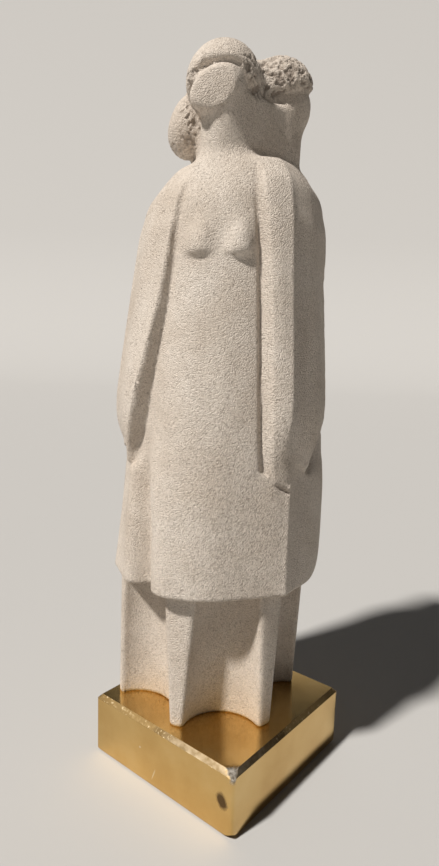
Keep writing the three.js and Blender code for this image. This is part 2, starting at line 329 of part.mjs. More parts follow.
// ---- thin out the facets where the surface is flat (collapse the cheapest edges) ------------
function thin({ P, T, foot }, keep) {
  const nv = P.length / 3, nt = T.length / 3, Q = new Float64Array(nv * 10), around = Array.from({ length: nv }, () => new Set());
  const alive = new Uint8Array(nt).fill(1), stamp = new Int32Array(nv);
  const normal = (a, b, c) => {
    const ux = P[3 * b] - P[3 * a], uy = P[3 * b + 1] - P[3 * a + 1], uz = P[3 * b + 2] - P[3 * a + 2];
    const vx = P[3 * c] - P[3 * a], vy = P[3 * c + 1] - P[3 * a + 1], vz = P[3 * c + 2] - P[3 * a + 2];
    return [uy * vz - uz * vy, uz * vx - ux * vz, ux * vy - uy * vx];
  };
  for (let t = 0; t < nt; t++) {
    const [a, b, c] = [T[3 * t], T[3 * t + 1], T[3 * t + 2]], m = normal(a, b, c), L = Math.hypot(...m) || 1e-12;
    const p = [m[0] / L, m[1] / L, m[2] / L]; p.push(-(p[0] * P[3 * a] + p[1] * P[3 * a + 1] + p[2] * P[3 * a + 2]));
    for (const v of [a, b, c]) {
      around[v].add(t);
      let q = v * 10;
      for (let i = 0; i < 4; i++) for (let j = i; j < 4; j++) Q[q++] += p[i] * p[j] * (L + 2e-5);
    }
  }
  const cost = (q, x, y, z) => q[0] * x * x + 2 * q[1] * x * y + 2 * q[2] * x * z + 2 * q[3] * x + q[4] * y * y + 2 * q[5] * y * z + 2 * q[6] * y + q[7] * z * z + 2 * q[8] * z + q[9];
  const best = (a, b) => {
    const q = []; for (let i = 0; i < 10; i++) q.push(Q[a * 10 + i] + Q[b * 10 + i]);
    const mx = (P[3 * a] + P[3 * b]) / 2, my = (P[3 * a + 1] + P[3 * b + 1]) / 2, mz = (P[3 * a + 2] + P[3 * b + 2]) / 2;
    const len = Math.hypot(P[3 * a] - P[3 * b], P[3 * a + 1] - P[3 * b + 1], P[3 * a + 2] - P[3 * b + 2]);
    const reg = 1e-3 * (q[0] + q[4] + q[7]) / 3, A = [q[0] + reg, q[1], q[2], q[4] + reg, q[5], q[7] + reg];
    const B = [-q[3] + reg * mx, -q[6] + reg * my, -q[8] + reg * mz];
    const c0 = A[3] * A[5] - A[4] * A[4], c1 = A[2] * A[4] - A[1] * A[5], c2 = A[1] * A[4] - A[2] * A[3], det = A[0] * c0 + A[1] * c1 + A[2] * c2;
    let p = [mx, my, mz];
    if (Math.abs(det) > 1e-30) {
      const x = (c0 * B[0] + c1 * B[1] + c2 * B[2]) / det, y = (c1 * B[0] + (A[0] * A[5] - A[2] * A[2]) * B[1] + (A[1] * A[2] - A[0] * A[4]) * B[2]) / det;
      const z = (c2 * B[0] + (A[1] * A[2] - A[0] * A[4]) * B[1] + (A[0] * A[3] - A[1] * A[1]) * B[2]) / det;
      if (Math.hypot(x - mx, y - my, z - mz) < 1.5 * len) p = [x, y, z];
    }
    if (foot[a] || foot[b]) p = foot[a] && foot[b] ? [p[0], p[1], FOOT] : [0, 1, 2].map(i => P[3 * (foot[a] ? a : b) + i]);
    return [Math.max(cost(q, ...p), 0) + 1e-9 * len * len, p];
  };
  const heap = [];
  const push = e => { let i = heap.length; heap.push(e); while (i) { const p = (i - 1) >> 1; if (heap[p][0] <= e[0]) break; heap[i] = heap[p]; i = p; } heap[i] = e; };
  const pop = () => {
    const top = heap[0], e = heap.pop(); if (!heap.length) return top;
    let i = 0;
    for (;;) { let c = 2 * i + 1; if (c >= heap.length) break; if (c + 1 < heap.length && heap[c + 1][0] < heap[c][0]) c++; if (heap[c][0] >= e[0]) break; heap[i] = heap[c]; i = c; }
    heap[i] = e; return top;
  };
  const edge = (a, b) => { const [k, p] = best(a, b); push([k, a, b, stamp[a], stamp[b], p]); };
  const near = v => { const s = new Set(); for (const t of around[v]) for (let i = 0; i < 3; i++) if (T[3 * t + i] !== v) s.add(T[3 * t + i]); return s; };
  for (let t = 0; t < nt; t++) for (let i = 0; i < 3; i++) { const a = T[3 * t + i], b = T[3 * t + (i + 1) % 3]; if (a < b) edge(a, b); }
  let left = nt;
  while (left > keep && heap.length) {
    const [, a, b, sa, sb, p] = pop();
    if (stamp[a] !== sa || stamp[b] !== sb || !around[a].size || !around[b].size) continue;
    const na = near(a), nb = near(b); let common = 0;
    for (const v of na) if (nb.has(v)) common++;
    if (common !== 2) continue;
    let ok = true;
    for (const [v, o] of [[a, b], [b, a]]) {
      for (const t of around[v]) {
        const tri = [T[3 * t], T[3 * t + 1], T[3 * t + 2]];
        if (tri.includes(o)) continue;
        const m0 = normal(...tri), old = [P[3 * v], P[3 * v + 1], P[3 * v + 2]];
        P[3 * v] = p[0]; P[3 * v + 1] = p[1]; P[3 * v + 2] = p[2];
        const m1 = normal(...tri); let longest = 0;
        for (let i = 0; i < 3; i++) { const s = tri[i], u = tri[(i + 1) % 3]; longest = Math.max(longest, Math.hypot(P[3 * s] - P[3 * u], P[3 * s + 1] - P[3 * u + 1], P[3 * s + 2] - P[3 * u + 2])); }
        P[3 * v] = old[0]; P[3 * v + 1] = old[1]; P[3 * v + 2] = old[2];
        const l0 = Math.hypot(...m0), l1 = Math.hypot(...m1);
        if (m0[0] * m1[0] + m0[1] * m1[1] + m0[2] * m1[2] < .35 * l0 * l1 || l1 < .04 * longest * longest) { ok = false; break; }
      }
      if (!ok) break;
    }
    if (!ok) continue;
    for (const t of [...around[b]]) {
      const tri = [T[3 * t], T[3 * t + 1], T[3 * t + 2]];
      if (tri.includes(a)) { for (const v of tri) around[v].delete(t); alive[t] = 0; left--; } else { for (let i = 0; i < 3; i++) if (T[3 * t + i] === b) T[3 * t + i] = a; around[a].add(t); }
    }
    around[b].clear();
    P[3 * a] = p[0]; P[3 * a + 1] = p[1]; P[3 * a + 2] = p[2];
    for (let i = 0; i < 10; i++) Q[a * 10 + i] += Q[b * 10 + i];
    foot[a] = Math.max(foot[a], foot[b]);
    stamp[a]++; stamp[b]++;
    for (const v of near(a)) edge(Math.min(a, v), Math.max(a, v));
  }
  const map = new Int32Array(nv).fill(-1), pos = [], tri = [];
  for (let t = 0; t < nt; t++) if (alive[t]) for (let i = 0; i < 3; i++) {
    const v = T[3 * t + i];
    if (map[v] < 0) { map[v] = pos.length / 3; pos.push(P[3 * v], P[3 * v + 1], P[3 * v + 2]); }
    tri.push(map[v]);
  }
  return { P: Float64Array.from(pos), T: Int32Array.from(tri) };
}

// ---- to millimetres, on the block ---------------------------------------------------------
const C = Math.cos(TURN * RAD), S = Math.sin(TURN * RAD);
function placed({ P, T }) {
  const out = new Float32Array(P.length);
  for (let i = 0; i < P.length; i += 3) {
    out[i] = SIDE * (C * P[i] + S * P[i + 1]);
    out[i + 1] = SIDE * (-S * P[i] + C * P[i + 1]);
    out[i + 2] = Z0 + SIDE * P[i + 2];
  }
  return { vertProperties: out, triVerts: Uint32Array.from(T) };
}
// ---- brass block: rounded squares stacked up -------------------------------------------------
function block() {
  const half = SIDE / 2, rings = [], arc = 4, foot = 3;
  for (let i = 0; i <= foot; i++) { const a = i / foot * 90 * RAD; rings.push([FOOT_EDGE * (1 - Math.sin(a)), FOOT_EDGE * (1 - Math.cos(a))]); }
  rings.push([0, BLOCK_H - BEVEL], [BEVEL, BLOCK_H]);
  const v = [], t = [], m = 4 * (arc + 1);
  for (const [inset, z] of rings) for (let q = 0; q < 4; q++) for (let i = 0; i <= arc; i++) {
    const a = (q + i / arc) * 90 * RAD, r = Math.max(CORNER - inset * .5, .4), c = half - inset - r;
    const sx = [1, -1, -1, 1][q], sy = [1, 1, -1, -1][q];
    v.push(sx * c + r * Math.cos(a), sy * c + r * Math.sin(a), z);
  }
  for (let k = 0; k < rings.length - 1; k++) for (let i = 0; i < m; i++) {
    const j = (i + 1) % m, a = k * m + i, b = k * m + j; t.push(a, b, b + m, a, b + m, a + m);
  }
  for (let i = 1; i < m - 1; i++) { t.push(0, i + 1, i); const o = (rings.length - 1) * m; t.push(o, o + i, o + i + 1); }
  return { vertProperties: Float32Array.from(v), triVerts: Uint32Array.from(t) };
}

// ---- build -------------------------------------------------------------------------------------
function named(name, m, material) {
  const g = new THREE.BufferGeometry();
  g.setAttribute('position', new THREE.BufferAttribute(Float32Array.from(m.vertProperties), 3));
  g.setIndex(new THREE.BufferAttribute(Uint32Array.from(m.triVerts), 1));
  g.computeVertexNormals();
  const mesh = new THREE.Mesh(g, material); mesh.name = name; return mesh;
}
const stone = placed(thin(surface(GRID), FACETS));

const root = new THREE.Group();
root.name = 'three_women_on_block';
root.add(named('three_figures', stone, new THREE.MeshStandardMaterial({ name: 'cast_stone', color: 0xd8cdbb, roughness: 0.92, metalness: 0.0 })));
root.add(named('brass_base', block(), new THREE.MeshStandardMaterial({ name: 'polished_brass', color: 0xb58f3c, roughness: 0.22, metalness: 1.0 })));
export default root;
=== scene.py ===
import math
import bpy
import numpy as np
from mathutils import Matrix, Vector


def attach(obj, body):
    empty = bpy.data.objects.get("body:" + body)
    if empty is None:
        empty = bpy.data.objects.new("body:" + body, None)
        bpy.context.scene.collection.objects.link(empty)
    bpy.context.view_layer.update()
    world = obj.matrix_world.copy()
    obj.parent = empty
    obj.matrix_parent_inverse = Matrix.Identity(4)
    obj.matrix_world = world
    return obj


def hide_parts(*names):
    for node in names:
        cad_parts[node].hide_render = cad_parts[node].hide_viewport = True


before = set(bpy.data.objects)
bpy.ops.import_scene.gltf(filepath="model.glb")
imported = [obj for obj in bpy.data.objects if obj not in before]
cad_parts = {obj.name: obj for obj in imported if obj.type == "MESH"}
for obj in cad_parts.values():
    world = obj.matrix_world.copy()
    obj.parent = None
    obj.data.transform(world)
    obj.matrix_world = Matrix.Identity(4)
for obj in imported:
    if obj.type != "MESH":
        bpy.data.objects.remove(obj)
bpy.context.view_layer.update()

# Three women cast back to back as one piece of stone, on a square brass block.
# Metres, +Z up, the block's underside on z = 0. The group's own sizes are parts of SIDE.
SIDE = 0.060
BLOCK_H, BEVEL, CORNER, FOOT_EDGE = 0.021, 0.0014, 0.0007, 0.0012
Z0 = BLOCK_H - 0.024 * SIDE
TURN = math.radians(50.7)
FACE, PER, EDGE = -100.0, 120.0, 49.0
E0 = EDGE - PER
HEM, FOOT, TOP = 0.775, 0.024, 2.93
DZ, DP = 0.01, 0.5


# ------------------------------------------------------------------ small maths
def sstep(a, b, x):
    t = np.clip((x - a) / (b - a), 0, 1)
    return t * t * (3 - 2 * t)


def smin(a, b, k):
    h = np.clip(0.5 + 0.5 * (b - a) / k, 0, 1)
    return b * (1 - h) + a * h - k * h * (1 - h)


def smax(a, b, k):
    return -smin(-a, -b, k)


def st(z, *p):
    return np.interp(z, p[0::2], p[1::2])


# ------------------------------------------------------------------ body: outline radius over bearing and height
ZS = np.arange(266) * DZ + 0.50
PH = np.arange(0, PER, DP)


def chord(angle, radius, ph):
    a, r = np.array(angle, float), np.array(radius, float)
    j = np.clip(np.searchsorted(a, ph, side="right") - 1, 0, len(a) - 2)
    a1, a2, r1, r2 = a[j], a[j + 1], r[j], r[j + 1]
    return r1 * r2 * np.sin(np.radians(a2 - a1)) / (r1 * np.sin(np.radians(ph - a1)) + r2 * np.sin(np.radians(a2 - ph)))


def blur(T, sd, axis):
    n = int(3 * sd) + 1
    k = np.exp(-0.5 * (np.arange(-n, n + 1) / sd) ** 2)
    k /= k.sum()
    out = np.zeros_like(T)
    for j, w in zip(range(-n, n + 1), k):
        out += w * (np.roll(T, -j, axis=1) if axis == 1 else T[np.clip(np.arange(len(T)) + j, 0, len(T) - 1)])
    return out


RIGHT_CREASE = (1.40, 53.5, 1.45, 52.5, 1.50, 50, 1.55, 47.2, 1.63, 43.6, 1.73, 41.0, 2.0, 34.8, 2.23, 29.6, 2.46, 27, 2.62, 26.3, 2.8, 25.5)


def tables():
    x = PH + E0
    TT = np.zeros((len(ZS), len(PH)))
    TA, WS = TT.copy(), TT.copy()
    for i, z in enumerate(ZS):
        front = st(z, .70, .566, .9, .563, 1.26, .553, 1.77, .525, 2.2, .495, 2.45, .475, 2.6, .464, 2.72, .442, 2.82, .402, 2.90, .355, 2.96, .30, 3.05, .22)
        eT = st(z, .70, .580, .9, .560, 1.1, .543, 1.31, .524, 1.7, .515, 2.2, .497, 2.5, .47, 2.7, .43, 2.82, .38, 2.95, .29, 3.05, .2)
        eA = st(z, 1.2, .535, 1.33, .549, 1.45, .560, 1.55, .579, 1.66, .594, 1.76, .594, 1.94, .575, 2.3, .533, 2.59, .499, 2.66, .480, 2.713, .468,
                2.77, .449, 2.80, .425, 2.84, .394, 2.88, .362, 2.913, .330, 2.963, .26, 3.05, .2)
        aL = st(z, 1.3, 35.6, 1.54, 34.7, 1.87, 32.3, 2.24, 29.6, 2.47, 27.9, 2.70, 23.6)
        aR = -st(z, *RIGHT_CREASE)
        fade = sstep(2.88, 2.50, z)
        dL = .034 * fade
        low = st(z, 1.34, .020, 1.42, .038, 1.50, .052, 1.63, .050, 1.73, .045, 2.0, .034, 2.23, .027, 2.46, .018, 2.62, .012, 2.8, 0)
        crestR = eA * .990 - .002
        crestL = min(eA * .985, front + .044)
        gr = 0.010 * fade
        kt = ([E0, E0 + 10, -50, -42, -30, -20, -10, -2, 10, 20, 30, 41, EDGE],
              [eT, eT * .970, front, front * 1.010, front * 1.010, front * 1.005, front, front, front * .980, front * .952, front * .950, front * .975, eT])
        ka = ([E0, E0 + 5, E0 + 9, E0 + 13, -56, aR - 1.2, aR - .2, -21, -8, 8, aL - 9, aL - 4.0, aL + .2, aL + 5.6, EDGE],
              [eA, eA * .975 - gr * .5, eA * .968 - gr, eA * .972 - gr * .2, eA * .985, crestR, front - low, front, front, front * .985, front * .966, front * .962, front * .958 - dL, crestL, eA])
        TT[i] = chord(*kt, x)
        TA[i] = chord(*ka, x)
        d = np.minimum(np.abs(x - EDGE), np.abs(x - E0))
        WS[i] = np.exp(-(d / 5) ** 2)
        WS[i] = np.maximum(WS[i], .95 * np.exp(-((x - aL - 1) / 6) ** 2) * (z > 1.3))
        WS[i] = np.maximum(WS[i], np.exp(-((x - aR + 1) / 7) ** 2) * (z > 1.34))
    out = []
    for T in (TT, TA):
        T = blur(T, 2.0, 0)
        out.append(blur(T, .55 / DP, 1) * WS + blur(T, 4.0 / DP, 1) * (1 - WS))
    return out


TT, TA = tables()


def lookup(T, x, z):
    zi = np.clip((z - ZS[0]) / DZ, 0, len(ZS) - 1.001)
    xi = (x - E0) / DP
    i = zi.astype(int)
    fz = zi - i
    j = np.floor(xi).astype(int)
    fx = xi - j
    n = T.shape[1]
    j0, j1 = j % n, (j + 1) % n
    return (T[i, j0] * (1 - fx) + T[i, j1] * fx) * (1 - fz) + (T[i + 1, j0] * (1 - fx) + T[i + 1, j1] * fx) * fz


def body_radius(phi, z):
    d = (phi - FACE - EDGE + 60) % PER - 60
    phi = phi + 5.5 * sstep(1.30, 1.60, z) * np.exp(-(d + 5.5) ** 2 / 170)
    x = (phi - FACE - E0) % PER + E0
    k = np.floor((phi - FACE - E0) / PER) % 3
    zl = np.interp(x, [28, 34, 41, EDGE + 3, EDGE + 9], [1.43, 1.414, 1.379, 1.320, 1.33]) + np.where(k == 0, 0, .115)
    zr = np.interp(x, [E0, -60, -54, -50, -45, -36, -29], [1.470, 1.436, 1.388, 1.390, 1.42, 1.44, 1.46]) - np.where(k == 1, .12 * np.clip(1 - (x - E0) / 9, 0, 1), 0)
    hw = np.interp(x, [-55, -52, -46, -36, -29, -20, -10, 14, 22, 29], [.010, .020, .055, .11, .18, .30, .35, .35, .30, .010])
    w = sstep(-1, 1, (z - np.where(x > -5, zl, zr)) / hw)
    R = lookup(TT, x, z) * (1 - w) + lookup(TA, x, z) * w
    vf = np.where(k == 0, 1.0, np.where(k == 1, 0, .6))
    xv = np.interp(z, [.8, 1.14, 1.30, 1.42, 1.55], [-34.5, -36.3, -39.5, -41.5, -41.0])
    vd = np.interp(z, [.7, 1.1, 1.30, 1.42, 1.50, 1.62], [.100, .092, .088, .074, .040, 0.0])
    R -= vf * vd * np.exp(-((x - xv) / np.where(x > xv, 7.4, 5.2)) ** 2) * (1 - .75 * w)
    R -= (k == 1) * .017 * np.exp(-((x + 36) / 11) ** 2) * np.interp(z, [1.5, 1.75, 2.35, 2.6], [0, 1, 1, 0])
    R += (k == 1) * .015 * np.exp(-((x + 25) / 14) ** 2) * np.interp(z, [.75, .9, 1.4, 1.6], [.6, 1, 1, 0])
    R += vf * .010 * np.exp(-((x + 17) / 7.0) ** 2) * np.interp(z, [1.1, 1.6], [1, 0])
    R += (k == 1) * np.exp(-((x + 20) / 14) ** 2) * np.interp(z, [.85, 1.0, 1.45, 1.55, 1.66, 1.78, 2.35, 2.5], [.004, .010, .010, .018, 0, -.008, -.008, 0])
    # the back of the first woman's right hand slants in towards its tip
    dl = (phi - FACE - E0 + 180) % 360 - 180
    R -= w * np.interp(z, [1.36, 1.42, 1.50, 1.55, 1.60], [.014, .020, .022, .009, 0]) * np.exp(-(dl / 13) ** 2)
    dk = (phi - FACE - EDGE + 180) % 360 - 180
    R += np.interp(z, [.8, 1.3, 1.45, 1.62], [.010, .034, .034, 0]) * np.exp(-np.maximum(np.abs(dk) - .6, 0) / 6.0) * (1 - w)
    return R


# ------------------------------------------------------------------ heads and breasts
HEADS = [
    dict(az=-116, rho=.200, z=3.284, faz=-110, hair=(.186, .200, .194), egg=(.097, .090, .152), off=(-.016, .128, -.060), tilt=40, roll=.60, lean=.088, cut=.072, slope=.64, under=.030, nk=(.120, .102)),
    dict(az=8, rho=.198, z=3.320, faz=8, hair=(.174, .184, .183), egg=(.122, .118, .140), off=(0, .052, -.068), tilt=0, roll=0, lean=0, cut=.030, slope=.25, under=.046, nk=(.150, .122)),
    dict(az=130, rho=.195, z=3.300, faz=140, hair=(.185, .175, .190), egg=(.122, .122, .140), off=(0, .090, -.068), tilt=0, roll=0, lean=0, cut=.060, slope=.45, under=.030, nk=(.150, .122)),
]
WEB = ((-.030, -.195), (.212, .034), .112, 3.22)
TRESS = ((-.262, .05, 3.155), (.113, .13, .162))


def ell(x, y, z, c, M, rad):
    d = [x - c[0], y - c[1], z - c[2]]
    q = [(M[0, i] * d[0] + M[1, i] * d[1] + M[2, i] * d[2]) / rad[i] for i in range(3)]
    k0 = np.sqrt(q[0] ** 2 + q[1] ** 2 + q[2] ** 2)
    k1 = np.sqrt((q[0] / rad[0]) ** 2 + (q[1] / rad[1]) ** 2 + (q[2] / rad[2]) ** 2) + 1e-9
    return k0 * (k0 - 1) / k1


def axes(az):
    a = math.radians(az)
    return np.array([[math.sin(a), math.cos(a), 0], [-math.cos(a), math.sin(a), 0], [0, 0, 1.0]])


def cap(x, y, z, a, b, ra, rb):
    ab = [b[i] - a[i] for i in range(3)]
    d = [x - a[0], y - a[1], z - a[2]]
    t = np.clip((d[0] * ab[0] + d[1] * ab[1] + d[2] * ab[2]) / sum(v * v for v in ab), 0, 1)
    return np.sqrt(sum((d[i] - ab[i] * t) ** 2 for i in range(3))) - (ra + (rb - ra) * t)


def heads(x, y, z, parts=False):
    out, hairs, skins = None, [], []
    # the hanging tress is narrower at its top
    (tx, ty, tz), tr = TRESS
    nar = 1 - .20 * np.clip((z - tz) / tr[2], -.6, 1)
    tress = ell(tx + (x - tx) / nar, y, z, TRESS[0], np.eye(3), tr)
    for i, h in enumerate(HEADS):
        a = math.radians(h["az"])
        c = np.array([h["rho"] * math.cos(a), h["rho"] * math.sin(a), h["z"]])
        M = axes(h["faz"])
        lat = (x - c[0]) * M[0, 0] + (y - c[1]) * M[1, 0]
        fw = (x - c[0]) * M[0, 1] + (y - c[1]) * M[1, 1]
        up = z - c[2]
        hair = ell(x, y, z, c, M, h["hair"])
        hair = smax(hair, -(up - h["slope"] * fw + h["cut"] + (i == 0) * .55 * np.maximum(lat - .03, 0)) * .88, h["under"])
        e = c + M @ np.array(h["off"])
        t = math.radians(h["tilt"])
        up_axis = np.array([0, 0, math.cos(t)]) - M[:, 1] * math.sin(t)
        side_axis = M[:, 0] * math.cos(h["roll"]) + up_axis * math.sin(h["roll"])
        up_axis = up_axis * math.cos(h["roll"]) - M[:, 0] * math.sin(h["roll"])
        ahead = M[:, 1] * math.cos(t) + np.array([0, 0, math.sin(t)])
        egg = ell(x, y, z, e, np.stack([side_axis, ahead, up_axis], 1), h["egg"])
        k = .010
        if i == 0:
            # the first face is turned up, and runs softly into the hair on the near side
            k = .008 + .050 * sstep(-.02, .09, .8 * lat - .5 * up)
            hair = smin(hair, tress, .030)
            # shadowed slit under the fringe
            q = ell(x, y, z, c + M @ np.array((-.098, .172, .027)), M, (.052, .050, .017))
            hair = smax(hair, -q, .024)
        n0 = (.17 * math.cos(a), .17 * math.sin(a) - .4 * h["lean"], 2.80)
        n1 = (.195 * math.cos(a), .195 * math.sin(a) - h["lean"], 3.20)
        neck = cap(x, y, z, n0, n1, *h["nk"])
        hd = smin(hair, egg, k)
        hd = smin(hd, neck, .045)
        out = hd if out is None else smin(out, hd, .022)
        hairs.append(hair)
        skins.append(np.minimum(egg, neck))
    out = smin(out, cap(x, y, z, (0, 0, 2.6), (0, 0, 3.30), .27, .17), .06)
    # the stone left standing between the first neck and the second
    (ax, ay), (bx, by), rad, top = WEB
    t = np.clip(((x - ax) * (bx - ax) + (y - ay) * (by - ay)) / ((bx - ax) ** 2 + (by - ay) ** 2), 0, 1)
    web = np.sqrt((x - ax - (bx - ax) * t) ** 2 + (y - ay - (by - ay) * t) ** 2) - rad
    out = smin(out, smax(web, z - top, .03), .03)
    if parts:
        return out, hairs, skins, tress
    return out


def breasts(x, y, z, tun):
    for k in range(3):
        for s in (-1, 1):
            a = math.radians(FACE + PER * k + 1.2 + s * 12.3)
            c, sn = math.cos(a), math.sin(a)
            rad = x * c + y * sn - (.440 if s < 0 else .431)
            lat = -x * sn + y * c
            u = z - 2.470
            q = np.sqrt((rad / .062) ** 2 + (lat / (.076 if s < 0 else .070)) ** 2 + (u / np.where(u < 0, .041, .130)) ** 2)
            tun = smin(tun, (q - 1) * .050, .022)
    return tun


# chisel cut under the end of the first woman's left hand, at the arris
CUT = (-100 + 44.5, .598, 1.334)
CUT_R = (.072, .090, .018)


def chisel(x, y, z):
    a = math.radians(CUT[0])
    rad = x * math.cos(a) + y * math.sin(a) - CUT[1]
    lat = -x * math.sin(a) + y * math.cos(a)
    u = z - CUT[2]
    c, s = math.cos(.50), math.sin(.50)
    return (np.sqrt((rad / CUT_R[0]) ** 2 + ((lat * c - u * s) / CUT_R[1]) ** 2 + ((lat * s + u * c) / CUT_R[2]) ** 2) - 1) * CUT_R[2]


# undercut along the inner side of each right arm: height, thickness; height, distance from the axis
UNDER_R = (1.37, 0, 1.42, .018, 1.50, .034, 1.70, .043, 2.0, .038, 2.3, .026, 2.45, .014, 2.6, 0)
UNDER_AT = (1.38, .530, 1.54, .530, 1.73, .537, 2.0, .520, 2.23, .503, 2.46, .483, 2.61, .466, 2.8, .44)


def undercut(phi, r, z, tun):
    rad, at = st(z, *UNDER_R), st(z, *UNDER_AT)
    mid = -st(z, *RIGHT_CREASE) - .8 + np.degrees(rad / at)
    d = (phi - FACE - mid + 60) % PER - 60
    q = np.sqrt((np.radians(d) * r) ** 2 + (r - at) ** 2) - rad
    return smax(tun, -q, .005)


def field(X, Y, Z):
    """Negative inside the stone."""
    x, y = X - (-0.072 + 0.0245 * Z), Y - 0.08
    r = np.sqrt(x * x + y * y)
    phi = np.degrees(np.arctan2(y, x))
    zz = Z - .05 * sstep(2.3, 2.8, Z) * x - .040 * sstep(2.45, 2.8, Z) * np.exp(-((phi + 58) / 24) ** 2) * sstep(.1, .3, r)
    tun = (r - body_radius(phi, zz)) * .96
    m = np.abs(Z - 2.52) < .35
    if m.any():
        tun[m] = breasts(x[m], y[m], zz[m], tun[m])
    m = np.abs(zz - 2.06) < .68
    if m.any():
        tun[m] = undercut(phi[m], r[m], zz[m], tun[m])
    m = np.abs(Z - 1.34) < .15
    if m.any():
        tun[m] = smax(tun[m], -chisel(x[m], y[m], Z[m]), .006)
    side = np.exp(-((phi - 4) / 17) ** 2)
    tun = smax(tun, -(Z - HEM - .075 * side) * (1 - .3 * side), .020 + .03 * side)
    tun = smax(tun, Z - TOP, .05)
    psi0 = phi - (FACE + EDGE)
    ridge = (np.floor((psi0 + 30) / 60) % 6).astype(int)
    psi = (psi0 + 30) % 60 - 30
    t = np.clip(Z / .75, 0, 1)
    ro = np.choose(ridge, [.502, .512, .505, .480, .518, .455]) + .012 * t + .02 * t * (ridge == 5)
    Rf = .213 - .050 * t + np.where(np.floor(psi0 / 60) % 6 == 0, .045 * t, 0)
    fl = np.radians(30 - np.abs(psi))
    flute = np.sqrt((r * np.cos(fl) - .503) ** 2 + (r * np.sin(fl)) ** 2) - Rf
    sk = smax(smax(r - ro, -flute, .030), Z - .95, .01)
    out = smin(tun, sk, .010)
    m = Z > 2.4
    if m.any():
        out[m] = smin(out[m], heads(x[m], y[m], Z[m]), .06 * sstep(2.4, 2.8, Z[m]) + 1e-4)
    return out


# ------------------------------------------------------------------ surface: finer sampling at the heads
BEND = .21
LO_U, HI_U, LO_V, HI_V = -.80, .80, -.72, .72
H = 0.0234
FINE, WZ0, WZ1 = .50, 2.92, 3.10


def scale_at(w):
    return 1 - (1 - FINE) * sstep(WZ0, WZ1, w)


def grid_to_space(u, v, zi, zt, kt):
    """grid coordinates (u, v across, zi the layer) to the group's own space"""
    k = np.interp(zi, np.arange(len(zt)), kt)
    return -.03 + u * k, .07 + v * k, np.interp(zi, np.arange(len(zt)), zt)


